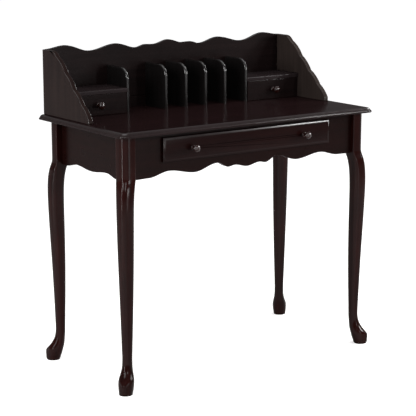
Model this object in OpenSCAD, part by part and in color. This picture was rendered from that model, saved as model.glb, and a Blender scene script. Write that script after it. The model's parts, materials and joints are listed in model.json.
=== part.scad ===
// Writing desk with a small letter hutch, a wide drawer and cabriole legs.
// Millimetres, Z up, the front faces -Y, the origin is on the floor under the middle of the desk.

/* [Desk] */
// width of the desktop over its moulded edges
desk_width = 926; // [880:1:980]
// depth of the desktop from the moulded front edge to the square rear edge
desk_depth = 468; // [450:1:500]
// height of the desktop's upper face above the floor
desk_height = 762; // [740:1:780]
// thickness of the desktop
top_thickness = 15; // [14:0.5:18]
// how far the moulding of the desktop's edge runs in from its outermost face
edge_band = 15; // [14:0.5:15.5]
// radius of the desktop's front corners seen from above
top_corner_radius = 22; // [18:1:30]

/* [Legs] */
// side of the square block at the top of each leg
leg_block = 42; // [38:1:44]
// distance from the side of the desktop to the leg block
leg_inset_side = 20; // [16:1:26]
// distance from the front and rear of the desktop to the leg block
leg_inset_front = 26; // [22:1:30]
// length of the straight block under the desktop
leg_block_length = 117; // [110:1:125]
// radius of the block's outward corner
leg_corner_radius = 18; // [12:1:18]

/* [Aprons] */
// thickness of the apron boards
apron_thickness = 18; // [16:1:20]
// how far the front and rear aprons lie behind the outer faces of the legs
apron_setback_front = 14; // [10:1:16]
// how far the side aprons lie behind the outer faces of the legs
apron_setback_side = 20; // [16:1:22]

/* [Main drawer] */
// distance from the leg block to the drawer's lipped front
drawer_front_margin = 96; // [85:1:120]
// height of the drawer's lipped front
drawer_front_height = 71; // [66:1:74]
// distance from the desktop's underside to the drawer front
drawer_front_drop = 14; // [12:1:16]
// thickness of the lipped front
drawer_front_thickness = 12; // [10:1:14]
// distance from the end of the drawer front to the knob
knob_inset = 100; // [80:1:120]

/* [Hutch] */
// height of the hutch's side panels above the desktop
hutch_height = 195; // [185:1:205]
// depth of the side panels where they stand on the desktop
hutch_depth = 263; // [250:1:270]
// thickness of the side panels
hutch_side_thickness = 15; // [13:1:16]
// distance from the side of the desktop to the side panel
hutch_inset = 16.5; // [16:0.5:20]
// thickness of the back panel
hutch_back_thickness = 12; // [10:1:13]
// height of the vertical dividers
divider_height = 136; // [128:1:140]
// thickness of the vertical dividers
divider_thickness = 10; // [9:0.5:11]
// distance from the back panel to the front of the dividers
divider_depth = 113; // [105:1:118]
// clear width of the bay that holds a small drawer
bay_width = 203.5; // [190:0.5:215]
// the wide slot's share of the length between the two drawer partitions
wide_slot_share = 0.313; // [0.28:0.001:0.34]
// each letter slot's share of that length
letter_slot_share = 0.1675; // [0.16:0.0005:0.175]
// height of the small shelves' upper face above the desktop
shelf_height = 76; // [72:1:80]
// thickness of the small shelves
shelf_thickness = 12; // [10:1:14]

/* [Small drawers] */
// thickness of the small drawers' fronts
small_front_thickness = 12; // [10:1:14]
// free play round the small drawers' fronts
small_play = 1; // [0.8:0.1:1.5]

/* [Knobs] */
// diameter of the knob's head
knob_diameter = 22; // [18:0.5:24]
// how far the knob stands out from the drawer front
knob_reach = 27.5; // [24:0.5:27.5]

/* [Hidden] */
// free gap between faces that meet without being glued
seat_gap = 0.3;
// free play round dowels and screws in their holes
hole_play = 0.15;
// how far a cutter runs past the face that it opens
overrun = 1;
$fn = 48;

// Desktop
top_underside = desk_height - top_thickness;
edge_bead = 6;
edge_bead_round = 1.5;
edge_round = 13;

// Legs, given as half sizes of the rectangle through the outer faces of the four blocks
leg_outer_x = desk_width / 2 - leg_inset_side;
leg_outer_y = desk_depth / 2 - leg_inset_front;
leg_inner_x = leg_outer_x - leg_block;
leg_inner_y = leg_outer_y - leg_block;
leg_block_bottom = top_underside - leg_block_length;
leg_edge_round = 3;
leg_sides = [[-1, -1], [1, -1], [-1, 1], [1, 1]];

// The leg's shape from the block down to the floor, written for a shaft of leg_shaft and scaled
// to the real one: height above the floor, distance of the axis from the block's outer faces,
// width, radius of the outward corner and radius of the other corners.
leg_shaft = 630;
leg_stations = [
    [leg_shaft, leg_block / 2, leg_block, leg_corner_radius, leg_edge_round],
    [596, 15.5, 43.6, 15.5, 9],
    [565, 12.6, 44, 14, 12],
    [520, 11.6, 43.4, 13, 13],
    [460, 12.2, 42, 12.6, 12.6],
    [390, 13.5, 39.8, 12, 12],
    [300, 15, 36, 11, 11],
    [210, 15.7, 32, 10.4, 10.4],
    [140, 15.8, 29.2, 11, 11],
    [105, 15.8, 28.2, 11.5, 11.5],
    [91, 15.5, 29, 12.8, 12.8],
    [78.5, 14.5, 31, 15, 15],
    [65, 12.5, 34.8, 17.4, 17.4],
    [52, 9.3, 41, 20.5, 20.5],
    [45.5, 7, 44.4, 22.2, 22.2],
    [39, 5.1, 46.4, 18.4, 23.2],
    [33, 3.8, 47, 11, 23.5],
    [30, 3.2, 46.9, 9, 23.4],
    [27.5, 2.7, 46.7, 8.8, 23.3],
    [19.5, 1.8, 45.2, 9.2, 22.6],
    [13, 0.6, 43.6, 12, 21.8],
    [6, -0.3, 41.2, 11.6, 20.6],
    [0, -1.5, 39.5, 19.7, 19.7]
];
leg_rings_per_station = 2;
leg_corner_steps = 4;

// Aprons
apron_front_y = -(leg_outer_y - apron_setback_front);
apron_side_x = leg_outer_x - apron_setback_side;
apron_inner_x = apron_side_x - apron_thickness;
apron_inner_y = -apron_front_y - apron_thickness;
rear_apron_height = 123;
outline_step = 6;
// Lower edge of the front apron: distance from the middle as a share of the half length, and
// depth under the desktop, crests and lows in turn, joined by smooth curves.
front_apron_waves = [
    [0, 127], [0.114, 119], [0.169, 122.5], [0.273, 106.5], [0.471, 125.5], [0.695, 112.5],
    [0.873, 126.5], [1, 127.5]
];
// Lower edge of the side aprons in the same form.
side_apron_waves = [[0, 128], [0.512, 120.5], [0.833, 130.5], [1, 131.5]];

// Corner braces, their bolts, and the screws that hold the desktop
brace_gap = 7;
brace_thickness = 22;
brace_height = 50;
brace_bottom = top_underside - brace_height;
bolt_height = brace_bottom + brace_height / 2;
bolt_radius = 4;
bolt_in_leg = 30;
nut_thickness = 6;
nut_across = 13;
washer_radius = 10;
washer_thickness = 1.6;
bolt_past_nut = 3;
brace_screw_spread = 13;

// Dowels and screws
dowel_radius = 4;
dowel_depth = 15;
dowel_drop = [40, 92];
side_dowel_drop = 12;
runner_dowel_bite = 12;
screw_radius = 2;
screw_head_radius = 4;
screw_head_height = 2.6;
screw_bite = 10;
kicker_screw_bite = 8;
kicker_screw_y = 110;
front_screw_bite = 8;
front_screw_inset = 45;
front_screw_middle = 90;
back_screw_length = 28;
divider_screw_bite = 16;
side_screw_bite = 22;
thin_screw_radius = 1.5;
thin_head_radius = 3;
thin_head_height = 2;

// Main drawer
front_face_y = apron_front_y - seat_gap - drawer_front_thickness;
front_back_y = apron_front_y - seat_gap;
front_top_z = top_underside - drawer_front_drop;
front_middle_z = front_top_z - drawer_front_height / 2;
drawer_front_half = leg_inner_x - drawer_front_margin;
knob_spread = drawer_front_half - knob_inset;
front_bevel_width = 8;
front_bevel_depth = 3;
front_lip = 15;
box_half_width = drawer_front_half - front_lip;
box_board = 12;
box_height = 48;
box_drop = 73;
box_bottom_z = top_underside - box_drop;
box_rear_gap = 26;
box_rear_y = apron_inner_y - box_rear_gap;
box_front_play = 3;
box_floor = 4;
box_floor_lift = 5;
box_groove = 5;
box_inner_y = front_back_y + box_board;
opening_low_play = 2.2;

// Drawer runners and kickers
runner_top_z = box_bottom_z - seat_gap;
runner_thickness = 18;
runner_ledge = 22;
runner_side_play = 2;
runner_width = 24;
runner_guide_height = 26;
kicker_gap = 3;
kicker_width = 32;

// Hutch
hutch_outer_x = desk_width / 2 - hutch_inset;
hutch_inner_x = hutch_outer_x - hutch_side_thickness;
hutch_rear_y = desk_depth / 2;
hutch_toe_y = hutch_rear_y - hutch_depth;
back_front_y = hutch_rear_y - hutch_back_thickness;
divider_front_y = back_front_y - divider_depth;
divider_corner_radius = 38;
back_rabbet = 7;
shelf_top_z = desk_height + shelf_height;
shelf_side_dado = 5;
shelf_partition_dado = 3;
shelf_nose = 3;
partition_spread = hutch_inner_x - bay_width - divider_thickness / 2;
slot_row = 2 * partition_spread;
letter_divider_x = [
    for (i = [0 : 3]) -partition_spread + (wide_slot_share + i * letter_slot_share) * slot_row
];
divider_all_x = concat([-partition_spread], letter_divider_x, [partition_spread]);
divider_screw_heights = [36, 98];
side_screw_heights = [30, 95, 160];
base_screw_share = 0.64;
side_base_screw_shares = [0.19, 0.6];
// Upper edge of the back panel: distance from the middle as a share of the half length, and
// height over the side panels.
back_waves = [
    [0, 6], [0.123, -5.5], [0.194, -4.5], [0.271, -12], [0.44, 4], [0.652, -12.5], [0.853, 8.5],
    [1, 0.5]
];
// Sloping front edge of a side panel, as points on the edge in shares of its depth from the
// rear and of its height, each with the bulge of the scallop that runs to the next point.
side_scallops = [
    [[0.19, 1], 4], [[0.308, 0.918], 5], [[0.502, 0.687], 4], [[0.673, 0.467], 4],
    [[0.852, 0.256], 3.5], [[1, 0.056], 0]
];
scallop_steps = 8;

// Small drawers
bay_inner_x = partition_spread + divider_thickness / 2;
bay_middle_x = (bay_inner_x + hutch_inner_x) / 2;
small_half_width = (hutch_inner_x - bay_inner_x) / 2 - small_play;
small_front_setback = 0.6;
small_front_y = divider_front_y + small_front_setback;
small_bottom_z = desk_height + small_play;
small_top_z = shelf_top_z - shelf_thickness - small_play;
small_box_board = 8;
small_box_height = 48;
small_box_side_play = 1.5;
small_rear_play = 10;
small_box_rear_y = back_front_y - small_rear_play;
small_box_floor = 3;
small_box_lift = 3;
small_groove = 3;
small_box_z = desk_height + seat_gap;

// Knobs
knob_flange_radius = 7.5;
knob_flange_thickness = 2.5;
knob_flange_round = 1;
knob_neck_radius = 4.2;
knob_cove_depth = 2.2;
knob_head_thickness = 11;
knob_rim_round = 4.5;
knob_screw_bite = 14;

wood = "#2b1d1c";
dark_wood = "#221817";
inner_wood = "#8a6a4a";
steel = "#9a9a9a";

// Shapes shared by several parts

// A smooth value between the points of a list of [place, value], level at every point.
function wave(points, x, i = 0) =
    i >= len(points) - 2 || x <= points[i + 1][0]
        ? let (
            share = (x - points[i][0]) / (points[i + 1][0] - points[i][0]),
            ease = (1 - cos(180 * max(0, min(1, share)))) / 2
        ) points[i][1] + (points[i + 1][1] - points[i][1]) * ease
        : wave(points, x, i + 1);

// A curved edge from -half to half that follows a list of waves. Sign is 1 where the waves
// rise from the base and -1 where they hang from it.
function wavy_edge(points, half, base, sign) =
    let (count = ceil(2 * half / outline_step))
    [for (i = [0 : count])
        let (share = 2 * i / count - 1)
        [half * share, base + sign * wave(points, abs(share))]];

// Points on the arc that leaves the chord from a to b by the given bulge, without b.
function scallop(a, b, bulge) =
    bulge == 0 ? [a] :
    let (
        chord = norm(b - a),
        along = (b - a) / chord,
        out = [along[1], -along[0]],
        radius = arc_radius(chord, bulge),
        centre = (a + b) / 2 + out * (bulge - radius),
        half_angle = asin(chord / 2 / radius)
    )
    [for (i = [0 : scallop_steps - 1])
        let (angle = -half_angle + 2 * half_angle * i / scallop_steps)
        centre + radius * (out * cos(angle) + along * sin(angle))];

// A value of the leg's table at a height, with the neighbours' slopes carried through.
function smooth(a, b, c, d, t) =
    b + t * ((c - a) / 2 + t * ((a - 2.5 * b + 2 * c - d / 2) + t * ((b - c) * 1.5 + (d - a) / 2)));

function station(i) = leg_stations[max(0, min(len(leg_stations) - 1, i))];

function leg_section(i, t) =
    [for (k = [0 : 4]) smooth(station(i - 1)[k], station(i)[k], station(i + 1)[k], station(i + 2)[k], t)];

// A square with round corners as a ring of points at one height. The third corner is the
// outward one.
function leg_ring(section) =
    let (half = section[2] / 2, offset = section[1])
    [for (corner = [0 : 3]) for (k = [0 : leg_corner_steps])
        let (
            angle = 90 * corner + 90 * k / leg_corner_steps,
            mid = 90 * corner + 45,
            radius = min(corner == 2 ? section[3] : section[4], half - 0.05),
            reach = (half - radius) * sqrt(2)
        )
        [
            offset + reach * cos(mid) + radius * cos(angle),
            offset + reach * sin(mid) + radius * sin(angle),
            section[0] * leg_block_bottom / leg_shaft
        ]];

// Radius of the arc that rises by a height over the middle of a chord.
function arc_radius(chord, height) = (chord * chord / 4 + height * height) / (2 * height);

module mirrored_x() {
    children();
    mirror([1, 0, 0])
        children();
}

// The board that fills a span in x, y and z.
module board(x, y, z) {
    translate([x[0], y[0], z[0]])
        cube([x[1] - x[0], y[1] - y[0], z[1] - z[0]]);
}

// A round bar from a point along +X, +Y or +Z.
module bar_x(point, radius, length) {
    translate(point)
        rotate([0, 90, 0])
            cylinder(r = radius, h = length);
}

module bar_y(point, radius, length) {
    translate(point)
        rotate([-90, 0, 0])
            cylinder(r = radius, h = length);
}

module bar_z(point, radius, length) {
    translate(point)
        cylinder(r = radius, h = length);
}

// A screw with a pan head whose underside is at the origin and whose shank points along +Z.
module screw(shank, head, head_height, length, play = 0) {
    cylinder(r = shank + play, h = length + play);
    translate([0, 0, -head_height - play])
        cylinder(r = head + play, h = head_height + play);
}

// Desktop with a moulded edge on the front and both sides

// A bead with rounded arrises, and over it an arc that runs into the upper face.
module edge_profile() {
    bead_face = edge_band - edge_bead_round;
    square([bead_face, edge_bead]);
    translate([0, edge_bead_round])
        square([edge_band, edge_bead - 2 * edge_bead_round]);
    for (height = [edge_bead_round, edge_bead - edge_bead_round])
        translate([bead_face, height])
            circle(r = edge_bead_round);
    intersection() {
        square([edge_round, top_thickness]);
        translate([0, top_thickness - edge_round])
            circle(r = edge_round);
    }
}

module desktop_blank() {
    half_x = desk_width / 2;
    half_y = desk_depth / 2;
    centre_x = half_x - top_corner_radius;
    centre_y = half_y - top_corner_radius;
    inner_radius = top_corner_radius - edge_band;
    board([-half_x + edge_band, half_x - edge_band], [-centre_y, half_y], [0, top_thickness]);
    board([-centre_x, centre_x], [-half_y + edge_band, 0], [0, top_thickness]);
    translate([centre_x, -half_y + edge_band, 0])
        rotate([90, 0, -90])
            linear_extrude(2 * centre_x)
                edge_profile();
    mirrored_x() {
        bar_z([centre_x, -centre_y, 0], inner_radius, top_thickness);
        translate([half_x - edge_band, half_y, 0])
            rotate([90, 0, 0])
                linear_extrude(half_y + centre_y)
                    edge_profile();
        translate([centre_x, -centre_y, 0])
            rotate([0, 0, -90])
                rotate_extrude(angle = 90)
                    translate([inner_radius, 0])
                        edge_profile();
    }
}

module desktop() {
    color(wood)
        difference() {
            translate([0, 0, top_underside])
                desktop_blank();
            desktop_screw_set(hole_play);
            kicker_screw_set(hole_play);
            hutch_base_screw_set(hole_play);
        }
}

// Legs

// One leg, with x and y measured inwards from the outer faces of its block.
module leg_shape() {
    last = len(leg_stations) - 1;
    block_top = concat(
        [leg_shaft * top_underside / leg_block_bottom],
        [for (k = [1 : 4]) leg_stations[0][k]]
    );
    sections = concat(
        [block_top],
        [for (i = [0 : last - 1]) for (k = [0 : leg_rings_per_station - 1])
            leg_section(i, k / leg_rings_per_station)],
        [leg_stations[last]]
    );
    rings = [for (section = sections) leg_ring(section)];
    across = len(rings[0]);
    count = len(rings);
    points = [for (ring = rings) each ring];
    faces = concat(
        [[for (k = [across - 1 : -1 : 0]) k]],
        [for (i = [0 : count - 2]) for (k = [0 : across - 1])
            [
                i * across + k,
                i * across + (k + 1) % across,
                (i + 1) * across + (k + 1) % across,
                (i + 1) * across + k
            ]],
        [[for (k = [0 : across - 1]) (count - 1) * across + k]]
    );
    polyhedron(points, faces);
}

module leg(side) {
    color(wood)
        difference() {
            mirror([side[0] > 0 ? 1 : 0, 0, 0])
                mirror([0, side[1] > 0 ? 1 : 0, 0])
                    translate([-leg_outer_x, -leg_outer_y, 0])
                        leg_shape();
            apron_dowel_set(hole_play);
            hanger_bolt_set(hole_play);
        }
}

// Aprons

module wavy_board(points, half, thickness) {
    outline = concat(
        wavy_edge(points, half, top_underside, -1),
        [[half, top_underside], [-half, top_underside]]
    );
    rotate([90, 0, 0])
        linear_extrude(thickness)
            polygon(outline);
}

module front_apron() {
    opening_half = box_half_width + box_front_play;
    color(wood)
        difference() {
            translate([0, apron_front_y + apron_thickness, 0])
                wavy_board(front_apron_waves, leg_inner_x, apron_thickness);
            board(
                [-opening_half, opening_half],
                [apron_front_y - overrun, -apron_inner_y + overrun],
                [box_bottom_z - opening_low_play, box_bottom_z + box_height + box_front_play]
            );
            apron_dowel_set(hole_play);
            runner_dowel_set(hole_play);
        }
}

module side_apron(side) {
    color(wood)
        difference() {
            translate([side * (apron_inner_x + apron_thickness / 2) - apron_thickness / 2, 0, 0])
                rotate([0, 0, 90])
                    wavy_board(side_apron_waves, leg_inner_y, apron_thickness);
            apron_dowel_set(hole_play);
            hanger_bolt_set(hole_play);
        }
}

module rear_apron() {
    color(wood)
        difference() {
            board(
                [-leg_inner_x, leg_inner_x],
                [apron_inner_y, apron_inner_y + apron_thickness],
                [top_underside - rear_apron_height, top_underside]
            );
            apron_dowel_set(hole_play);
            runner_dowel_set(hole_play);
        }
}

module apron_dowel_set(play = 0) {
    radius = dowel_radius + play;
    depth = dowel_depth + play;
    middle_y = apron_inner_y + apron_thickness / 2;
    middle_x = apron_inner_x + apron_thickness / 2;
    for (side = leg_sides) for (drop = dowel_drop) {
        bar_x([side[0] * leg_inner_x - depth, side[1] * middle_y, top_underside - drop], radius, 2 * depth);
        bar_y(
            [side[0] * middle_x, side[1] * leg_inner_y - depth, top_underside - drop - side_dowel_drop],
            radius,
            2 * depth
        );
    }
}

module apron_dowels() {
    color(inner_wood)
        apron_dowel_set();
}

// Corner braces with their bolts and screws

module brace(side) {
    near = leg_inner_x + leg_inner_y - brace_gap * sqrt(2);
    far = near - brace_thickness * sqrt(2);
    outline = [
        [apron_inner_x, near - apron_inner_x],
        [near - apron_inner_y, apron_inner_y],
        [far - apron_inner_y, apron_inner_y],
        [apron_inner_x, far - apron_inner_x]
    ];
    color(inner_wood)
        difference() {
            scale([side[0], side[1], 1])
                translate([0, 0, brace_bottom])
                    linear_extrude(brace_height)
                        polygon(outline);
            hanger_bolt_set(hole_play);
            desktop_screw_set(hole_play);
        }
}

// Places its children at a leg's inward corner, with +Z pointing from the leg into the frame.
module at_leg_corner(side) {
    translate([side[0] * leg_inner_x, side[1] * leg_inner_y, bolt_height])
        rotate([0, 0, atan2(-side[1], -side[0])])
            rotate([0, 90, 0])
                children();
}

module hanger_bolt_set(play = 0) {
    reach = brace_gap + brace_thickness + washer_thickness + nut_thickness + bolt_past_nut;
    for (side = leg_sides)
        at_leg_corner(side)
            translate([0, 0, -bolt_in_leg - play])
                cylinder(r = bolt_radius + play, h = bolt_in_leg + reach + play);
}

module hanger_bolts() {
    color(steel)
        hanger_bolt_set();
}

module hanger_nuts() {
    color(steel)
        for (side = leg_sides)
            at_leg_corner(side)
                translate([0, 0, brace_gap + brace_thickness])
                    difference() {
                        union() {
                            cylinder(r = washer_radius, h = washer_thickness);
                            translate([0, 0, washer_thickness])
                                cylinder(d = nut_across / cos(30), h = nut_thickness, $fn = 6);
                        }
                        translate([0, 0, -overrun])
                            cylinder(
                                r = bolt_radius + hole_play,
                                h = washer_thickness + nut_thickness + 2 * overrun
                            );
                    }
}

module desktop_screw_set(play = 0) {
    middle = brace_gap + brace_thickness / 2;
    for (side = leg_sides) for (along = [-brace_screw_spread, brace_screw_spread])
        translate([side[0] * leg_inner_x, side[1] * leg_inner_y, brace_bottom])
            rotate([0, 0, atan2(-side[1], -side[0])])
                translate([middle, along, 0])
                    screw(screw_radius, screw_head_radius, screw_head_height, brace_height + screw_bite, play);
}

module desktop_screws() {
    color(steel)
        desktop_screw_set();
}

// Runners that carry the main drawer, and kickers that keep it level when it is open

module drawer_runner(side) {
    guide_x = box_half_width + runner_side_play;
    color(inner_wood)
        scale([side, 1, 1])
            difference() {
                union() {
                    board(
                        [box_half_width - runner_ledge, guide_x + runner_width],
                        [-apron_inner_y, apron_inner_y],
                        [runner_top_z - runner_thickness, runner_top_z]
                    );
                    board(
                        [guide_x, guide_x + runner_width],
                        [-apron_inner_y, apron_inner_y],
                        [runner_top_z - runner_thickness, runner_top_z + runner_guide_height]
                    );
                }
                runner_dowel_set(hole_play);
            }
}

module runner_dowel_set(play = 0) {
    radius = dowel_radius + play;
    into_runner = dowel_depth + play;
    into_apron = runner_dowel_bite + play;
    place_x = box_half_width + runner_side_play + runner_width / 2;
    for (end = [-1, 1]) for (side = [-1, 1]) for (height = [-runner_thickness / 2, runner_guide_height / 2])
        bar_y(
            [
                side * place_x,
                end * apron_inner_y - (end < 0 ? into_apron : into_runner),
                runner_top_z + height
            ],
            radius,
            into_runner + into_apron
        );
}

module runner_dowels() {
    color(inner_wood)
        runner_dowel_set();
}

module drawer_kicker(side) {
    color(inner_wood)
        difference() {
            scale([side, 1, 1])
                board(
                    [box_half_width + runner_side_play - kicker_width, box_half_width + runner_side_play],
                    [-apron_inner_y, apron_inner_y],
                    [box_bottom_z + box_height + kicker_gap, top_underside]
                );
            kicker_screw_set(hole_play);
        }
}

module kicker_screw_set(play = 0) {
    bottom = box_bottom_z + box_height + kicker_gap;
    for (side = [-1, 1]) for (y = [-kicker_screw_y, kicker_screw_y])
        translate([side * (box_half_width + runner_side_play - kicker_width / 2), y, bottom + screw_head_height])
            screw(
                screw_radius, screw_head_radius, screw_head_height,
                top_underside - bottom - screw_head_height + kicker_screw_bite, play
            );
}

module kicker_screws() {
    color(steel)
        kicker_screw_set();
}

// Knobs, turned, with the flange at the origin and the head reaching along -Y

module knob_flange() {
    flat_radius = knob_flange_radius - knob_flange_round;
    flat_height = knob_flange_thickness - knob_flange_round;
    square([flat_radius, knob_flange_thickness]);
    square([knob_flange_radius, flat_height]);
    translate([flat_radius, flat_height])
        circle(r = knob_flange_round);
}

// The neck, hollowed by a cove between the flange and the head.
module knob_neck() {
    head_back = knob_reach - knob_head_thickness;
    cove_radius = arc_radius(head_back - knob_flange_thickness, knob_cove_depth);
    difference() {
        square([knob_neck_radius + knob_cove_depth, head_back]);
        translate([knob_neck_radius + cove_radius, (head_back + knob_flange_thickness) / 2])
            circle(r = cove_radius);
    }
}

// The head: a flat dome that runs into a round rim.
module knob_head() {
    rim_x = knob_diameter / 2 - knob_rim_round;
    rim_drop = knob_head_thickness - knob_rim_round;
    dome_rise = rim_drop - knob_rim_round;
    dome_radius = (rim_x * rim_x + rim_drop * rim_drop - knob_rim_round * knob_rim_round) / (2 * dome_rise);
    dome_edge_x = rim_x * dome_radius / (dome_radius - knob_rim_round);
    translate([0, knob_reach - knob_head_thickness])
        square([rim_x, knob_rim_round]);
    translate([rim_x, knob_reach - rim_drop])
        circle(r = knob_rim_round);
    intersection() {
        translate([0, knob_reach - rim_drop])
            square([dome_edge_x, rim_drop]);
        translate([0, knob_reach - dome_radius])
            circle(r = dome_radius);
    }
}

module knob(x, y, z) {
    color(dark_wood)
        difference() {
            translate([x, y, z])
                rotate([90, 0, 0])
                    rotate_extrude() {
                        knob_flange();
                        knob_neck();
                        knob_head();
                    }
            bar_y([x, y - knob_screw_bite - hole_play, z], screw_radius + hole_play, knob_screw_bite + overrun);
        }
}

// Main drawer

// A plate whose front edges are bevelled all round; its back face lies at y = 0.
module bevelled_plate(width, height, thickness, bevel_width, bevel_depth) {
    edge = thickness - bevel_depth;
    intersection() {
        translate([0, 0, -height / 2])
            linear_extrude(height)
                polygon([
                    [-width / 2, 0], [-width / 2, -edge], [-width / 2 + bevel_width, -thickness],
                    [width / 2 - bevel_width, -thickness], [width / 2, -edge], [width / 2, 0]
                ]);
        translate([width / 2, 0, 0])
            rotate([0, -90, 0])
                linear_extrude(width)
                    polygon([
                        [-height / 2, 0], [-height / 2, -edge], [-height / 2 + bevel_width, -thickness],
                        [height / 2 - bevel_width, -thickness], [height / 2, -edge], [height / 2, 0]
                    ]);
    }
}

module main_drawer_front() {
    color(wood)
        difference() {
            translate([0, front_back_y, front_middle_z])
                bevelled_plate(
                    2 * drawer_front_half, drawer_front_height, drawer_front_thickness,
                    front_bevel_width, front_bevel_depth
                );
            main_drawer_screw_set(hole_play);
        }
}

module main_drawer_box_front() {
    color(inner_wood)
        difference() {
            board(
                [-box_half_width, box_half_width],
                [front_back_y, box_inner_y],
                [box_bottom_z, box_bottom_z + box_height]
            );
            main_drawer_floor(hole_play);
            main_drawer_screw_set(hole_play);
        }
}

module main_drawer_side(side) {
    color(inner_wood)
        difference() {
            scale([side, 1, 1])
                board(
                    [box_half_width - box_board, box_half_width],
                    [box_inner_y, box_rear_y],
                    [box_bottom_z, box_bottom_z + box_height]
                );
            main_drawer_floor(hole_play);
        }
}

module main_drawer_back() {
    floor_top = box_bottom_z + box_floor_lift + box_floor;
    color(inner_wood)
        board(
            [-box_half_width + box_board, box_half_width - box_board],
            [box_rear_y - box_board, box_rear_y],
            [floor_top + hole_play, box_bottom_z + box_height]
        );
}

module main_drawer_floor(play = 0) {
    half = box_half_width - box_board + box_groove + play;
    low = box_bottom_z + box_floor_lift;
    board(
        [-half, half],
        [box_inner_y - box_groove - play, box_rear_y + play],
        [low - play, low + box_floor + play]
    );
}

module main_drawer_bottom() {
    color(inner_wood)
        main_drawer_floor();
}

module main_drawer_screw_set(play = 0) {
    // Two long screws hold the knobs, and four short ones join the front to the box.
    outer_screw_x = drawer_front_half - front_screw_inset;
    for (side = [-1, 1])
        translate([side * knob_spread, box_inner_y, front_middle_z])
            rotate([90, 0, 0])
                screw(
                    screw_radius, screw_head_radius, screw_head_height,
                    box_board + drawer_front_thickness + knob_screw_bite, play
                );
    for (x = [-outer_screw_x, -front_screw_middle, front_screw_middle, outer_screw_x])
        translate([x, box_inner_y, front_middle_z])
            rotate([90, 0, 0])
                screw(screw_radius, screw_head_radius, screw_head_height, box_board + front_screw_bite, play);
}

module main_drawer_screws() {
    color(steel)
        main_drawer_screw_set();
}

// Hutch

function slope_point(i) = [
    hutch_rear_y - side_scallops[i][0][0] * hutch_depth,
    side_scallops[i][0][1] * hutch_height
];

module side_outline() {
    last = len(side_scallops) - 1;
    slope = [for (i = [0 : last - 1])
        each scallop(slope_point(i), slope_point(i + 1), side_scallops[i][1])];
    polygon(concat(
        [[hutch_rear_y, 0], [hutch_rear_y, hutch_height]],
        slope,
        [slope_point(last), [hutch_toe_y, 0]]
    ));
}

module hutch_side(side) {
    color(wood)
        difference() {
            translate([side * (hutch_inner_x + hutch_side_thickness / 2) - hutch_side_thickness / 2, 0, desk_height])
                rotate([90, 0, 90])
                    linear_extrude(hutch_side_thickness)
                        side_outline();
            // The rabbet that takes the back panel's end.
            scale([side, 1, 1])
                board(
                    [hutch_inner_x - overrun, hutch_inner_x + back_rabbet + hole_play],
                    [back_front_y, hutch_rear_y + overrun],
                    [desk_height - overrun, desk_height + hutch_height + overrun]
                );
            shelf_body(side, hole_play);
            hutch_base_screw_set(hole_play);
            hutch_back_screw_set(hole_play);
        }
}

module hutch_back() {
    half = hutch_inner_x + back_rabbet;
    outline = concat(wavy_edge(back_waves, half, hutch_height, 1), [[half, 0], [-half, 0]]);
    color(wood)
        difference() {
            translate([0, hutch_rear_y, desk_height])
                rotate([90, 0, 0])
                    linear_extrude(hutch_back_thickness)
                        polygon(outline);
            hutch_back_screw_set(hole_play);
        }
}

// A board on edge whose front and top are half round, with a rounded corner between them.
module divider_body(x) {
    half = divider_thickness / 2;
    reach = divider_corner_radius - half;
    corner_y = divider_front_y + divider_corner_radius;
    corner_z = desk_height + divider_height - divider_corner_radius;
    board([x - half, x + half], [corner_y, back_front_y], [desk_height, corner_z + reach]);
    board([x - half, x + half], [divider_front_y + half, corner_y], [desk_height, corner_z]);
    bar_z([x, divider_front_y + half, desk_height], half, divider_height - divider_corner_radius);
    bar_y([x, corner_y, desk_height + divider_height - half], half, back_front_y - corner_y);
    translate([x, corner_y, corner_z])
        rotate([0, -90, 0])
            rotate([0, 0, 270])
                rotate_extrude(angle = 90) {
                    translate([0, -half])
                        square([reach, divider_thickness]);
                    translate([reach, 0])
                        circle(r = half);
                }
}

module divider(x) {
    color(wood)
        difference() {
            divider_body(x);
            shelf_body(sign(x), hole_play);
            hutch_base_screw_set(hole_play);
            hutch_back_screw_set(hole_play);
        }
}

// The shelf over a small drawer, with a rounded upper front edge.
module shelf_body(side, play = 0) {
    low_x = bay_inner_x - shelf_partition_dado - play;
    high_x = hutch_inner_x + shelf_side_dado + play;
    low_z = shelf_top_z - shelf_thickness - play;
    scale([side, 1, 1]) {
        board([low_x, high_x], [divider_front_y + shelf_nose, back_front_y], [low_z, shelf_top_z + play]);
        board([low_x, high_x], [divider_front_y - play, back_front_y], [low_z, shelf_top_z - shelf_nose]);
        bar_x([low_x, divider_front_y + shelf_nose, shelf_top_z - shelf_nose], shelf_nose + play, high_x - low_x);
    }
}

module hutch_shelf(side) {
    color(wood)
        shelf_body(side);
}

// The screws under the uprights, with their heads let into the desktop's underside.
module hutch_base_screw_set(play = 0) {
    side_middle_x = hutch_outer_x - hutch_side_thickness / 2;
    for (x = divider_all_x)
        translate([x, back_front_y - base_screw_share * divider_depth, top_underside + thin_head_height])
            screw(
                thin_screw_radius, thin_head_radius, thin_head_height,
                top_thickness - thin_head_height + divider_screw_bite, play
            );
    for (side = [-1, 1]) for (share = side_base_screw_shares)
        translate([side * side_middle_x, hutch_toe_y + share * hutch_depth, top_underside + screw_head_height])
            screw(
                screw_radius, screw_head_radius, screw_head_height,
                top_thickness - screw_head_height + side_screw_bite, play
            );
}

module hutch_base_screws() {
    color(steel)
        hutch_base_screw_set();
}

module hutch_back_screw_set(play = 0) {
    for (x = divider_all_x) for (z = divider_screw_heights)
        translate([x, hutch_rear_y - thin_head_height, desk_height + z])
            rotate([90, 0, 0])
                screw(thin_screw_radius, thin_head_radius, thin_head_height, back_screw_length, play);
    for (side = [-1, 1]) for (z = side_screw_heights)
        translate([side * (hutch_inner_x + back_rabbet / 2), hutch_rear_y - thin_head_height, desk_height + z])
            rotate([90, 0, 0])
                screw(thin_screw_radius, thin_head_radius, thin_head_height, back_screw_length, play);
}

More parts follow.
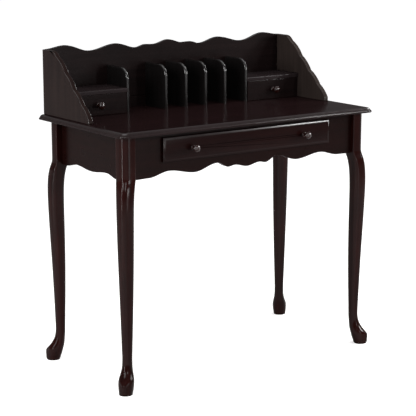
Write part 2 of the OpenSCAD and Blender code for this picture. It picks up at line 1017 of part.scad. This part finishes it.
module hutch_back_screws() {
    color(steel)
        hutch_back_screw_set();
}

// Small drawers

module small_drawer_front(side) {
    middle_z = (small_bottom_z + small_top_z) / 2;
    color(wood)
        difference() {
            board(
                [side * bay_middle_x - small_half_width, side * bay_middle_x + small_half_width],
                [small_front_y, small_front_y + small_front_thickness],
                [small_bottom_z, small_top_z]
            );
            small_drawer_floor(side, hole_play);
            bar_y(
                [side * bay_middle_x, small_front_y - overrun, middle_z],
                screw_radius + hole_play,
                small_front_thickness + 2 * overrun
            );
        }
}

module small_drawer_sides(side) {
    half = small_half_width - small_box_side_play;
    color(inner_wood)
        translate([side * bay_middle_x, 0, 0])
            difference() {
                mirrored_x()
                    board(
                        [half - small_box_board, half],
                        [small_front_y + small_front_thickness, small_box_rear_y],
                        [small_box_z, small_box_z + small_box_height]
                    );
                translate([-side * bay_middle_x, 0, 0])
                    small_drawer_floor(side, hole_play);
            }
}

module small_drawer_back(side) {
    half = small_half_width - small_box_side_play - small_box_board;
    low = small_box_z + small_box_lift + small_box_floor + hole_play;
    color(inner_wood)
        translate([side * bay_middle_x, 0, 0])
            board(
                [-half, half],
                [small_box_rear_y - small_box_board, small_box_rear_y],
                [low, small_box_z + small_box_height]
            );
}

module small_drawer_floor(side, play = 0) {
    half = small_half_width - small_box_side_play - small_box_board + small_groove + play;
    low = small_box_z + small_box_lift;
    translate([side * bay_middle_x, 0, 0])
        board(
            [-half, half],
            [small_front_y + small_front_thickness - small_groove - play, small_box_rear_y + play],
            [low - play, low + small_box_floor + play]
        );
}

module small_drawer_bottom(side) {
    color(inner_wood)
        small_drawer_floor(side);
}

module small_drawer_screw(side) {
    color(steel)
        translate([side * bay_middle_x, small_front_y + small_front_thickness, (small_bottom_z + small_top_z) / 2])
            rotate([90, 0, 0])
                screw(
                    screw_radius, screw_head_radius, screw_head_height,
                    small_front_thickness + knob_screw_bite
                );
}

module small_drawer_knob(side) {
    knob(side * bay_middle_x, small_front_y, (small_bottom_z + small_top_z) / 2);
}

desktop();
leg([-1, -1]);  // leg_front_left
leg([1, -1]);  // leg_front_right
leg([-1, 1]);  // leg_rear_left
leg([1, 1]);  // leg_rear_right
front_apron();
side_apron(-1);  // left_apron
side_apron(1);  // right_apron
rear_apron();
apron_dowels();
brace([-1, -1]);  // brace_front_left
brace([1, -1]);  // brace_front_right
brace([-1, 1]);  // brace_rear_left
brace([1, 1]);  // brace_rear_right
hanger_bolts();
hanger_nuts();
desktop_screws();
drawer_runner(-1);  // drawer_runner_left
drawer_runner(1);  // drawer_runner_right
runner_dowels();
drawer_kicker(-1);  // drawer_kicker_left
drawer_kicker(1);  // drawer_kicker_right
kicker_screws();
main_drawer_front();
main_drawer_box_front();
main_drawer_side(-1);  // main_drawer_side_left
main_drawer_side(1);  // main_drawer_side_right
main_drawer_back();
main_drawer_bottom();
knob(-knob_spread, front_face_y, front_middle_z);  // main_drawer_knob_left
knob(knob_spread, front_face_y, front_middle_z);  // main_drawer_knob_right
main_drawer_screws();
hutch_side(-1);  // hutch_side_left
hutch_side(1);  // hutch_side_right
hutch_back();
hutch_shelf(-1);  // hutch_shelf_left
hutch_shelf(1);  // hutch_shelf_right
divider(-partition_spread);  // drawer_partition_left
divider(partition_spread);  // drawer_partition_right
divider(letter_divider_x[0]);  // letter_divider_1
divider(letter_divider_x[1]);  // letter_divider_2
divider(letter_divider_x[2]);  // letter_divider_3
divider(letter_divider_x[3]);  // letter_divider_4
hutch_base_screws();
hutch_back_screws();
small_drawer_front(-1);  // small_drawer_left_front
small_drawer_sides(-1);  // small_drawer_left_sides
small_drawer_back(-1);  // small_drawer_left_back
small_drawer_bottom(-1);  // small_drawer_left_bottom
small_drawer_knob(-1);  // small_drawer_left_knob
small_drawer_screw(-1);  // small_drawer_left_screw
small_drawer_front(1);  // small_drawer_right_front
small_drawer_sides(1);  // small_drawer_right_sides
small_drawer_back(1);  // small_drawer_right_back
small_drawer_bottom(1);  // small_drawer_right_bottom
small_drawer_knob(1);  // small_drawer_right_knob
small_drawer_screw(1);  // small_drawer_right_screw
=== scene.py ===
import json
from functools import cache
from math import cos, pi, radians, sin, sqrt
from typing import NamedTuple

import bmesh
import bpy
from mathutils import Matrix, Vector


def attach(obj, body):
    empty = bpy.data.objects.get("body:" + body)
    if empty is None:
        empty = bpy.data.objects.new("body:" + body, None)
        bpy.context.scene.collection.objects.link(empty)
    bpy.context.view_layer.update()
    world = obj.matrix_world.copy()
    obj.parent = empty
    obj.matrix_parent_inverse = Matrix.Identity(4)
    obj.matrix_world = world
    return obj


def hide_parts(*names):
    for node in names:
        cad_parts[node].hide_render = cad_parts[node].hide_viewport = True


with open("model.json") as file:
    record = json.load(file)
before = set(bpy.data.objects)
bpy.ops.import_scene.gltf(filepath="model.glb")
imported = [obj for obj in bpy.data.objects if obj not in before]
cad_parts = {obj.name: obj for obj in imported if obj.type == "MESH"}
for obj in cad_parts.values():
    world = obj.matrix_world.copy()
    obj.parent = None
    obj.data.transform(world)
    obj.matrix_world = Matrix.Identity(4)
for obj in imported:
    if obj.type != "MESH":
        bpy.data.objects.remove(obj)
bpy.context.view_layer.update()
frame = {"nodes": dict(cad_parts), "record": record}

# Camera, solved from the photograph

PHOTO_WIDTH = 416
SENSOR_WIDTH = 36.0
FOCAL_PIXELS = 1503.6
CAMERA_PLACE = (-2.6419, -3.7123, 1.4126)
CAMERA_TURN = -35.381
CAMERA_DROP = 11.819


def add_camera():
    data = bpy.data.cameras.new("camera")
    data.sensor_width = SENSOR_WIDTH
    data.lens = FOCAL_PIXELS * SENSOR_WIDTH / PHOTO_WIDTH
    camera = bpy.data.objects.new("camera", data)
    camera.location = CAMERA_PLACE
    camera.rotation_euler = (radians(90 - CAMERA_DROP), 0, radians(CAMERA_TURN))
    bpy.context.collection.objects.link(camera)
    bpy.context.scene.camera = camera


# Shader nodes: all helpers but feed return what the next node is linked to


def feed(tree, value, socket):
    """Links an output to a socket, or sets the socket to a plain value."""
    if isinstance(value, bpy.types.NodeSocket):
        tree.links.new(value, socket)
    else:
        socket.default_value = value


def combine(tree, operation, first, second):
    node = tree.nodes.new("ShaderNodeMath")
    node.operation = operation
    feed(tree, first, node.inputs[0])
    feed(tree, second, node.inputs[1])
    return node.outputs[0]


def scaled(tree, value, low, high, start=0.0, end=1.0, shape="LINEAR"):
    """Maps start to low and end to high, and stays between the two."""
    node = tree.nodes.new("ShaderNodeMapRange")
    node.interpolation_type = shape
    node.inputs["From Min"].default_value = start
    node.inputs["From Max"].default_value = end
    node.inputs["To Min"].default_value = low
    node.inputs["To Max"].default_value = high
    tree.links.new(value, node.inputs["Value"])
    return node.outputs["Result"]


def mix(tree, kind, share, low, high):
    """Mixes two colours where the kind is RGBA, or two numbers where it is FLOAT."""
    node = tree.nodes.new("ShaderNodeMix")
    node.data_type = kind
    feed(tree, share, node.inputs["Factor"])
    feed(tree, low, node.inputs["A"])
    feed(tree, high, node.inputs["B"])
    return node.outputs["Result"]


def ramp(tree, value, first_stop, last_stop):
    """Turns a value into a colour between two stops, each a position and a colour."""
    node = tree.nodes.new("ShaderNodeValToRGB")
    tree.links.new(value, node.inputs["Fac"])
    elements = node.color_ramp.elements
    elements[0].position, elements[0].color = first_stop
    elements[1].position, elements[1].color = last_stop
    return node.outputs["Color"]


def noise(tree, vector, scale, detail, roughness=0.55, distortion=0.0):
    texture = tree.nodes.new("ShaderNodeTexNoise")
    texture.inputs["Scale"].default_value = scale
    texture.inputs["Detail"].default_value = detail
    texture.inputs["Roughness"].default_value = roughness
    texture.inputs["Distortion"].default_value = distortion
    tree.links.new(vector, texture.inputs["Vector"])
    return texture.outputs["Fac"]


def coordinates(tree, kind):
    return tree.nodes.new("ShaderNodeTexCoord").outputs[kind]


def split_axes(tree, vector):
    node = tree.nodes.new("ShaderNodeSeparateXYZ")
    tree.links.new(vector, node.inputs["Vector"])
    return node.outputs


def seen_directly(tree):
    """Returns 1 for camera, glossy and transmission rays, and 0 for the light on other things."""
    path = tree.nodes.new("ShaderNodeLightPath").outputs
    seen = combine(tree, "MAXIMUM", path["Is Camera Ray"], path["Is Glossy Ray"])
    return combine(tree, "MAXIMUM", seen, path["Is Transmission Ray"])


# Light and background

FLOOR_SIZE = 200.0
FLOOR_LIGHT_COLOUR = (0.4, 0.4, 0.4, 1)
FLOOR_SEEN_COLOUR = (0.9, 0.9, 0.9, 1)
FLOOR_GLOW = 0.42
HORIZON_LEVEL = 0.22
HORIZON_TOP = radians(12)
SKY_LEVEL = 0.3
SKY_BOTTOM = radians(50)
OVERHEAD_STRENGTH = 1.2
OVERHEAD_SPREAD = radians(50)

# The place of each lamp, the point it faces, its width and height, and its radiance.
# The key lamp draws the bright line on the main drawer's upper edge. The left strip draws the
# line on the front left leg's corner, front_low and front_ground the streak beside it, and
# right_low the streaks on the knobs and on the front right foot. The others are fill light.
SOFTBOXES = {
    "key": ((2.2, -2.3, 1.7), (0.2, -0.1, 0.75), 0.2, 0.8, 65),
    "left": ((-3.0, -0.15, 0.9), (0, -0.15, 0.6), 0.1, 1.7, 85),
    "left_high": ((-2.8, -0.9, 2.0), (0.2, 0, 0.85), 1.2, 0.9, 11),
    "front": ((-1.5, -3.0, 1.9), (0, 0, 0.85), 0.8, 0.6, 18),
    "front_low": ((0.8, -2.8, 0.9), (-0.4, -0.2, 0.6), 0.2, 0.6, 38),
    "front_ground": ((0.8, -2.8, 0.33), (-0.4, -0.2, 0.6), 0.2, 0.6, 9),
    "right": ((2.9, 0.1, 2.65), (-0.4, 0, 0.9), 1.4, 0.7, 14),
    "right_low": ((2.9, -1.6, 1.45), (0.3, -0.2, 0.4), 0.3, 0.5, 110),
}


def add_world():
    """A plain studio that is dimmer near the horizon than overhead."""
    world = bpy.data.worlds.new("studio")
    bpy.context.scene.world = world
    world.use_nodes = True
    tree = world.node_tree
    tree.nodes.clear()
    height = split_axes(tree, coordinates(tree, "Generated"))["Z"]
    low, high = sin(HORIZON_TOP), sin(SKY_BOTTOM)
    level = scaled(tree, height, HORIZON_LEVEL, SKY_LEVEL, low, high, "SMOOTHSTEP")
    light = tree.nodes.new("ShaderNodeBackground")
    light.inputs["Color"].default_value = (1, 1, 1, 1)
    tree.links.new(level, light.inputs["Strength"])
    out = tree.nodes.new("ShaderNodeOutputWorld")
    tree.links.new(light.outputs[0], out.inputs["Surface"])


def floor_material():
    """Grey where it lights the desk, and white with the desk's shadow where it is seen."""
    material = bpy.data.materials.new("floor")
    material.use_nodes = True
    tree = material.node_tree
    tree.nodes.clear()
    matte = tree.nodes.new("ShaderNodeBsdfDiffuse")
    matte.inputs["Color"].default_value = FLOOR_LIGHT_COLOUR
    seen = tree.nodes.new("ShaderNodeBsdfDiffuse")
    seen.inputs["Color"].default_value = FLOOR_SEEN_COLOUR
    glow = tree.nodes.new("ShaderNodeEmission")
    glow.inputs["Strength"].default_value = FLOOR_GLOW
    white = tree.nodes.new("ShaderNodeAddShader")
    tree.links.new(seen.outputs[0], white.inputs[0])
    tree.links.new(glow.outputs[0], white.inputs[1])
    both = tree.nodes.new("ShaderNodeMixShader")
    tree.links.new(seen_directly(tree), both.inputs["Fac"])
    tree.links.new(matte.outputs[0], both.inputs[1])
    tree.links.new(white.outputs[0], both.inputs[2])
    out = tree.nodes.new("ShaderNodeOutputMaterial")
    tree.links.new(both.outputs[0], out.inputs["Surface"])
    return material


def add_floor():
    half = FLOOR_SIZE / 2
    corners = [(-half, -half, 0), (half, -half, 0), (half, half, 0), (-half, half, 0)]
    mesh = bpy.data.meshes.new("floor")
    mesh.from_pydata(corners, [], [(0, 1, 2, 3)])
    mesh.materials.append(floor_material())
    floor = bpy.data.objects.new("floor", mesh)
    bpy.context.collection.objects.link(floor)


def add_softbox(name, place, target, width, height, radiance):
    """A rectangular lamp that shines evenly with the given radiance and isn't seen itself."""
    data = bpy.data.lights.new(name, "AREA")
    data.shape = "RECTANGLE"
    data.size = width
    data.size_y = height
    data.energy = radiance * pi * width * height
    light = bpy.data.objects.new(name, data)
    light.location = place
    toward = Vector(target) - Vector(place)
    light.rotation_euler = toward.to_track_quat("-Z", "Y").to_euler()
    light.visible_camera = False
    bpy.context.collection.objects.link(light)


def add_overhead():
    """A wide soft light from straight above, which also evens out the floor."""
    data = bpy.data.lights.new("overhead", "SUN")
    data.energy = OVERHEAD_STRENGTH
    data.angle = OVERHEAD_SPREAD
    light = bpy.data.objects.new("overhead", data)
    bpy.context.collection.objects.link(light)


def add_studio():
    add_world()
    add_floor()
    add_overhead()
    for name, settings in SOFTBOXES.items():
        add_softbox(name, *settings)


# Materials


def linear(red, green, blue):
    """Turns an sRGB colour in 0 to 255 into the linear colour that the shaders use."""
    def channel(value):
        value /= 255
        return value / 12.92 if value <= 0.04045 else ((value + 0.055) / 1.055) ** 2.4
    return (channel(red), channel(green), channel(blue), 1.0)


class Lacquer(NamedTuple):
    """The darkest and lightest tone, the roughness, the gloss of flat faces seen square on and
    seen at a glance, and the gloss of the rounds that turn away from the named axes."""

    dark: tuple
    light: tuple
    roughness: float
    square_gloss: float
    grazing_gloss: float
    round_gloss: float
    round_axes: str


LACQUERS = {
    "desktop_lacquer": Lacquer(linear(19, 11, 11), linear(30, 18, 19), 0.18, 0.06, 0.0055, 0.4, "Z"),
    "case_lacquer": Lacquer(linear(14, 5, 4), linear(24, 8, 7), 0.28, 0.038, 0.016, 0.3, "Z"),
    "hutch_lacquer": Lacquer(linear(17, 12, 12), linear(26, 18, 18), 0.26, 0.035, 0.01, 0.45, "Z"),
    # The next five rows are copies of the hutch's lacquer with light and shade painted into their
    # tones: the back and the dividers darker, painted shade in the hutch; the side panels and shelves
    # lighter, painted light, the right panel most
    "back_painted_shade_lacquer": Lacquer(linear(15, 10, 10), linear(26, 18, 18), 0.26, 0.04, 0.01, 0.3, "Z"),
    "left_side_painted_light_lacquer": Lacquer(linear(24, 16, 15), linear(36, 26, 24), 0.24, 0.04, 0.01, 0.45, "X"),
    "right_side_painted_light_lacquer": Lacquer(linear(37, 31, 29), linear(52, 44, 41), 0.24, 0.04, 0.01, 0.3, "X"),
    "shelf_painted_light_lacquer": Lacquer(linear(28, 22, 23), linear(40, 33, 34), 0.26, 0.04, 0.01, 0.2, "Z"),
    "divider_painted_shade_lacquer": Lacquer(linear(15, 13, 13), linear(22, 20, 20), 0.18, 0.04, 0.03, 0.5, "XY"),
    "leg_lacquer": Lacquer(linear(15, 5, 4), linear(38, 11, 9), 0.12, 0.048, 0.009, 0.085, "XY"),
    "drawer_lacquer": Lacquer(linear(15, 5, 5), linear(27, 10, 9), 0.21, 0.04, 0.01, 0.48, "Y"),
    "knob_lacquer": Lacquer(linear(24, 9, 8), linear(37, 16, 14), 0.22, 0.15, 0.15, 0.6, "Y"),
}

# How the grain is squeezed along each axis: it runs long in its own direction
GRAIN_SCALES = {
    "x": (3.0, 70.0, 70.0),
    "y": (70.0, 3.0, 70.0),
    "z": (70.0, 70.0, 3.0),
}

# Lacquer: the share of the broad clouds in its tone, its rubbed arrises, how far its roughness
# wanders, which facing counts as square on and as a glance, and its pores
CLOUD_SHARE = 0.35
WORN = linear(60, 38, 34)
WORN_RADIUS = 0.0015
WORN_SAMPLES = 4
MOST_WEAR = 0.35
EDGE_COSINE = 0.8
SMOOTHER_BY = 0.04
ROUGHER_BY = 0.05
SQUARE_FACING = 0.2
GRAZING_FACING = 0.8
PORE_STRENGTH = 0.03
PORE_DEPTH = 0.0006

# A round shines more than a flat face. The turn of a face from an axis is the squared sine times
# the squared cosine, and a face that looks down by more than a little has no share.
FIRST_TURN = 0.005
FULL_TURN = 0.08
DOWNWARD = -0.2
LEVEL = -0.05

PLAIN_WOOD_DARK = linear(158, 122, 84)
PLAIN_WOOD_LIGHT = linear(196, 162, 120)
PLAIN_WOOD_ROUGHNESS = (0.55, 0.75)
PLAIN_WOOD_GLOSS = 0.3
FIBRE_STRENGTH = 0.15
FIBRE_DEPTH = 0.0004

ZINC_DULL = linear(150, 150, 148)
ZINC_BRIGHT = linear(196, 198, 200)
ZINC_ROUGHNESS = (0.25, 0.42)


def new_material(name):
    """Returns a material with its node tree and its shader."""
    material = bpy.data.materials.new(name)
    material.use_nodes = True
    return material, material.node_tree, material.node_tree.nodes["Principled BSDF"]


def along_grain(tree, place, grain):
    stretch = tree.nodes.new("ShaderNodeMapping")
    stretch.inputs["Scale"].default_value = GRAIN_SCALES[grain]
    tree.links.new(place, stretch.inputs["Vector"])
    return stretch.outputs["Vector"]


def add_bump(tree, shader, height, strength, depth):
    bump = tree.nodes.new("ShaderNodeBump")
    bump.inputs["Strength"].default_value = strength
    bump.inputs["Distance"].default_value = depth
    tree.links.new(height, bump.inputs["Height"])
    tree.links.new(bump.outputs["Normal"], shader.inputs["Normal"])


def edge_share(tree, radius):
    """Returns how strongly a point lies on an edge: 0 on a flat face, towards 1 on an arris."""
    bevel = tree.nodes.new("ShaderNodeBevel")
    bevel.samples = WORN_SAMPLES
    bevel.inputs["Radius"].default_value = radius
    geometry = tree.nodes.new("ShaderNodeNewGeometry")
    cosine = tree.nodes.new("ShaderNodeVectorMath")
    cosine.operation = "DOT_PRODUCT"
    tree.links.new(bevel.outputs["Normal"], cosine.inputs[0])
    tree.links.new(geometry.outputs["Normal"], cosine.inputs[1])
    return scaled(tree, cosine.outputs["Value"], 0.0, 1.0, start=1.0, end=EDGE_COSINE)


def turned_from(tree, along):
    """Returns 0 on faces square to or along an axis, and 1 on those that turn between the two."""
    squared = combine(tree, "MULTIPLY", along, along)
    rest = combine(tree, "SUBTRACT", 1.0, squared)
    turned = combine(tree, "MULTIPLY", squared, rest)
    return scaled(tree, turned, 0.0, 1.0, FIRST_TURN, FULL_TURN)


def rounded_share(tree, axes):
    """Returns 1 on the rounds that turn away from one of the axes, 0 elsewhere and below them."""
    normal = split_axes(tree, coordinates(tree, "Normal"))
    share = turned_from(tree, normal[axes[0]])
    for axis in axes[1:]:
        share = combine(tree, "MAXIMUM", share, turned_from(tree, normal[axis]))
    upward = scaled(tree, normal["Z"], 0.0, 1.0, DOWNWARD, LEVEL)
    return combine(tree, "MULTIPLY", share, upward)


def lacquered_wood(name, coat, grain):
    """Espresso lacquer over wood: faint grain, uneven sheen, pores and slightly rubbed arrises."""
    material, tree, shader = new_material(name)
    place = coordinates(tree, "Object")
    fibres = along_grain(tree, place, grain)
    streaks = noise(tree, fibres, scale=1.0, detail=6.0, roughness=0.62, distortion=0.4)
    clouds = noise(tree, place, scale=7.0, detail=2.0)
    tone = ramp(tree, streaks, (0.3, coat.dark), (0.7, coat.light))
    shade = ramp(tree, clouds, (0.35, coat.dark), (0.75, coat.light))
    even = mix(tree, "RGBA", CLOUD_SHARE, tone, shade)
    wear = scaled(tree, edge_share(tree, WORN_RADIUS), 0.0, MOST_WEAR)
    feed(tree, mix(tree, "RGBA", wear, even, WORN), shader.inputs["Base Color"])
    smears = noise(tree, place, scale=22.0, detail=4.0)
    sheen = scaled(tree, smears, coat.roughness - SMOOTHER_BY, coat.roughness + ROUGHER_BY)
    feed(tree, sheen, shader.inputs["Roughness"])
    facing = tree.nodes.new("ShaderNodeLayerWeight").outputs["Facing"]
    flat = scaled(tree, facing, coat.square_gloss, coat.grazing_gloss, SQUARE_FACING, GRAZING_FACING)
    gloss = mix(tree, "FLOAT", rounded_share(tree, coat.round_axes), flat, coat.round_gloss)
    feed(tree, gloss, shader.inputs["Specular IOR Level"])
    pores = noise(tree, fibres, scale=5.0, detail=8.0, roughness=0.7)
    add_bump(tree, shader, pores, PORE_STRENGTH, PORE_DEPTH)
    return material


def plain_wood(name, grain):
    """Sanded, unfinished wood for the pieces inside."""
    material, tree, shader = new_material(name)
    place = coordinates(tree, "Object")
    fibres = along_grain(tree, place, grain)
    streaks = noise(tree, fibres, scale=1.0, detail=7.0, roughness=0.6, distortion=0.8)
    colour = ramp(tree, streaks, (0.28, PLAIN_WOOD_DARK), (0.72, PLAIN_WOOD_LIGHT))
    feed(tree, colour, shader.inputs["Base Color"])
    fuzz = noise(tree, place, scale=60.0, detail=3.0)
    feed(tree, scaled(tree, fuzz, *PLAIN_WOOD_ROUGHNESS), shader.inputs["Roughness"])
    shader.inputs["Specular IOR Level"].default_value = PLAIN_WOOD_GLOSS
    add_bump(tree, shader, streaks, FIBRE_STRENGTH, FIBRE_DEPTH)
    return material


def zinc_steel():
    """Bright zinc plate with a fine uneven spangle."""
    material, tree, shader = new_material("zinc_steel")
    spangle = noise(tree, coordinates(tree, "Object"), scale=400.0, detail=3.0)
    feed(tree, ramp(tree, spangle, (0.35, ZINC_DULL), (0.65, ZINC_BRIGHT)), shader.inputs["Base Color"])
    feed(tree, scaled(tree, spangle, *ZINC_ROUGHNESS), shader.inputs["Roughness"])
    shader.inputs["Metallic"].default_value = 1.0
    return material


@cache
def finish(slot, grain):
    """The material of a slot with the grain along one axis, made when it is first asked for."""
    if slot == "zinc_steel":
        return zinc_steel()
    name = slot + "_" + grain
    if slot == "plain_wood":
        return plain_wood(name, grain)
    return lacquered_wood(name, LACQUERS[slot], grain)


# CAD nodes with their finishes

GRAIN_ALONG_X = ("desktop", "front_apron", "rear_apron", "main_drawer_front", "main_drawer_box_front",
                 "main_drawer_back", "main_drawer_bottom", "hutch_back", "hutch_shelf_left",
                 "hutch_shelf_right", "small_drawer_left_front", "small_drawer_right_front",
                 "small_drawer_left_back", "small_drawer_right_back",
                 "small_drawer_left_bottom", "small_drawer_right_bottom")
GRAIN_ALONG_Y = ("left_apron", "right_apron", "main_drawer_side_left", "main_drawer_side_right",
                 "drawer_runner_left", "drawer_runner_right", "drawer_kicker_left",
                 "drawer_kicker_right", "small_drawer_left_sides", "small_drawer_right_sides")

# Pieces that get a lighter or darker copy of their slot's lacquer, by the start of their names.
# The dividers and partitions are darker and the back a little darker: painted shade in the hutch.
# The side panels and shelves are lighter, the right panel most: painted light. The small drawer
# fronts take the hutch's greyer tone. The screws in the hutch's back are lacquered over together with
# it.
PAINTED_LIGHT_AND_TONE_PIECES = {
    "letter_divider": "divider_painted_shade_lacquer",
    "drawer_partition": "divider_painted_shade_lacquer",
    "hutch_shelf": "shelf_painted_light_lacquer",
    "hutch_side_left": "left_side_painted_light_lacquer",
    "hutch_side_right": "right_side_painted_light_lacquer",
    "hutch_back": "back_painted_shade_lacquer",
    "small_drawer_left_front": "hutch_lacquer",
    "small_drawer_right_front": "hutch_lacquer",
}

EASED_BY_SHAPE = ("desktop",)
WELD_DISTANCE = 0.00002
ARRIS_ROUND = 0.0007
PANEL_ROUND = 0.0022
ARRIS_STEPS = 4
ARRIS_ANGLE = radians(35)


def grain_of(node):
    if node in GRAIN_ALONG_X:
        return "x"
    if node in GRAIN_ALONG_Y:
        return "y"
    return "z"


# Returns the copy of the lacquer that the table gives the piece, with its painted light, painted shade
# or greyer tone, else the slot's own lacquer
def coat_of(node, slot):
    for start, coat in PAINTED_LIGHT_AND_TONE_PIECES.items():
        if node.startswith(start):
            return coat
    return slot


def ease_arrises(piece, width, steps, angle, stay_apart):
    """Rounds the edges that are sharper than the angle, and keeps flat faces flat in the shading."""
    ease = piece.modifiers.new("ease", "BEVEL")
    ease.width = width
    ease.segments = steps
    ease.limit_method = "ANGLE"
    ease.angle_limit = angle
    ease.use_clamp_overlap = stay_apart
    piece.modifiers.new("shade", "WEIGHTED_NORMAL")


def dress_cad_nodes():
    """Gives every CAD node its finish. All but the steel and the desktop get eased arrises."""
    slots = {part["node"]: part["material_slot"] for part in frame["record"]["subparts"]}
    for name, piece in frame["nodes"].items():
        # Some pieces get a copy of their lacquer with painted light or painted shade in its tone
        coat = coat_of(name, slots[name])
        piece.data.materials.clear()
        piece.data.materials.append(finish(coat, grain_of(name)))
        if coat == "zinc_steel" or name in EASED_BY_SHAPE:
            continue
        weld = piece.modifiers.new("weld", "WELD")
        weld.merge_threshold = WELD_DISTANCE
        width = PANEL_ROUND if name.startswith("hutch_side") else ARRIS_ROUND
        ease_arrises(piece, width, ARRIS_STEPS, ARRIS_ANGLE, stay_apart=False)


# Legs, lofted as in the solids but with more rings

LEG_OUTER = (0.443, 0.208)
DESKTOP_UNDERSIDE = 0.747

# From the block's lower end to the floor: the height, how far the axis lies inward from the
# block's outer faces, the width, and the radii of the outward corner and of the other three
LEG_TABLE = [
    (0.630, 0.021, 0.042, 0.018, 0.003),
    (0.596, 0.0155, 0.0436, 0.0155, 0.009),
    (0.565, 0.0126, 0.044, 0.014, 0.012),
    (0.520, 0.0116, 0.0434, 0.013, 0.013),
    (0.460, 0.0122, 0.042, 0.0126, 0.0126),
    (0.390, 0.0135, 0.0398, 0.012, 0.012),
    (0.300, 0.015, 0.036, 0.011, 0.011),
    (0.210, 0.0157, 0.032, 0.0104, 0.0104),
    (0.140, 0.0158, 0.0292, 0.011, 0.011),
    (0.105, 0.0158, 0.0282, 0.0115, 0.0115),
    (0.091, 0.0155, 0.029, 0.0128, 0.0128),
    (0.0785, 0.0145, 0.031, 0.015, 0.015),
    (0.065, 0.0125, 0.0348, 0.0174, 0.0174),
    (0.052, 0.0093, 0.041, 0.0205, 0.0205),
    (0.0455, 0.007, 0.0444, 0.0222, 0.0222),
    (0.039, 0.0051, 0.0464, 0.0184, 0.0232),
    (0.033, 0.0038, 0.047, 0.011, 0.0235),
    (0.030, 0.0032, 0.0469, 0.009, 0.0234),
    (0.0275, 0.0027, 0.0467, 0.0088, 0.0233),
    (0.0195, 0.0018, 0.0452, 0.0092, 0.0226),
    (0.013, 0.0006, 0.0436, 0.012, 0.0218),
    (0.006, -0.0003, 0.0412, 0.0116, 0.0206),
    (0.000, -0.0015, 0.0395, 0.0197, 0.0197),
]
LEG_STEPS = 6
LEG_CORNER_STEPS = 8
LEG_SIDE_STEPS = 4
LEG_LEAST_SIDE = 0.0001
LEG_END_ROUND = 0.0012
LEG_END_STEPS = 3
LEG_END_ANGLE = radians(50)
OUTWARD_CORNER = 2

# The sides bow out by this share of their length, from this height up and fully at twice it
LEG_BOW = 0.015
BOW_START = 0.1


def smooth(before, start, end, after, share):
    """A Catmull-Rom curve from start to end."""
    straight = (end - before) / 2
    squared = before - 2.5 * start + 2 * end - after / 2
    cubed = 1.5 * (start - end) + (after - before) / 2
    return start + share * (straight + share * (squared + share * cubed))


def leg_sections():
    """The straight block, and under it the table's rows joined by smooth curves. A mirrored row
    above the first makes the knee leave the block without a kink."""
    block, knee = LEG_TABLE[:2]
    mirrored_knee = (2 * block[0] - knee[0],) + knee[1:]
    rows = [mirrored_knee] + LEG_TABLE + [LEG_TABLE[-1]]
    sections = [(DESKTOP_UNDERSIDE,) + block[1:]]
    for four_rows in zip(rows, rows[1:], rows[2:], rows[3:]):
        for k in range(LEG_STEPS):
            sections.append(tuple(smooth(*column, k / LEG_STEPS) for column in zip(*four_rows)))
    sections.append(LEG_TABLE[-1])
    return sections


def leg_corner(section, corner):
    """One rounded corner of a leg's section, as points in order."""
    height, offset, width, outward_round, other_round = section
    wanted = outward_round if corner == OUTWARD_CORNER else other_round
    radius = min(wanted, (width - LEG_LEAST_SIDE) / 2)
    reach = (width / 2 - radius) * sqrt(2)
    middle = radians(90 * corner + 45)
    centre = Vector((offset + reach * cos(middle), offset + reach * sin(middle), height))
    turns = (radians(90 * corner + 90 * k / LEG_CORNER_STEPS) for k in range(LEG_CORNER_STEPS + 1))
    return [centre + radius * Vector((cos(angle), sin(angle), 0)) for angle in turns]


def leg_ring(section):
    """The whole section; above the foot its sides bow out slightly between the corners."""
    depth = LEG_BOW * max(0, min(1, section[0] / BOW_START - 1))
    corners = [leg_corner(section, corner) for corner in range(4)]
    ring = []
    for corner in range(4):
        start, end = corners[corner][-1], corners[(corner + 1) % 4][0]
        turn = radians(90 * corner + 90)
        outward = Vector((cos(turn), sin(turn), 0))
        ring.extend(corners[corner])
        for k in range(1, LEG_SIDE_STEPS):
            share = k / LEG_SIDE_STEPS
            bow = 4 * share * (1 - share) * depth * (end - start).length
            ring.append(start.lerp(end, share) + bow * outward)
    return ring


def leg_mesh(name, side_x, side_y):
    """The leg at one corner of the desk, which the sides name as -1 or 1."""
    mesh = bmesh.new()
    rings = []
    for section in leg_sections():
        ring = []
        for x, y, z in leg_ring(section):
            ring.append(mesh.verts.new((side_x * (LEG_OUTER[0] - x), side_y * (LEG_OUTER[1] - y), z)))
        rings.append(ring)
    for upper, lower in zip(rings, rings[1:]):
        for k in range(len(upper)):
            after = (k + 1) % len(upper)
            mesh.faces.new((upper[k], upper[after], lower[after], lower[k])).smooth = True
    mesh.faces.new(rings[0])
    mesh.faces.new(rings[-1])
    bmesh.ops.recalc_face_normals(mesh, faces=mesh.faces)
    data = bpy.data.meshes.new(name)
    mesh.to_mesh(data)
    mesh.free()
    return data


def add_leg(node, side_x, side_y):
    name = node + "_shaped"
    leg = bpy.data.objects.new(name, leg_mesh(name, side_x, side_y))
    bpy.context.collection.objects.link(leg)
    leg.data.materials.append(finish("leg_lacquer", "z"))
    ease_arrises(leg, LEG_END_ROUND, LEG_END_STEPS, LEG_END_ANGLE, stay_apart=True)
    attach(leg, "desk")
    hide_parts(node)


def add_legs():
    add_leg("leg_front_left", -1, -1)
    add_leg("leg_front_right", 1, -1)
    add_leg("leg_rear_left", -1, 1)
    add_leg("leg_rear_right", 1, 1)


def main():
    add_camera()
    add_studio()
    dress_cad_nodes()
    add_legs()
    bpy.context.scene.view_settings.view_transform = "Standard"


main()
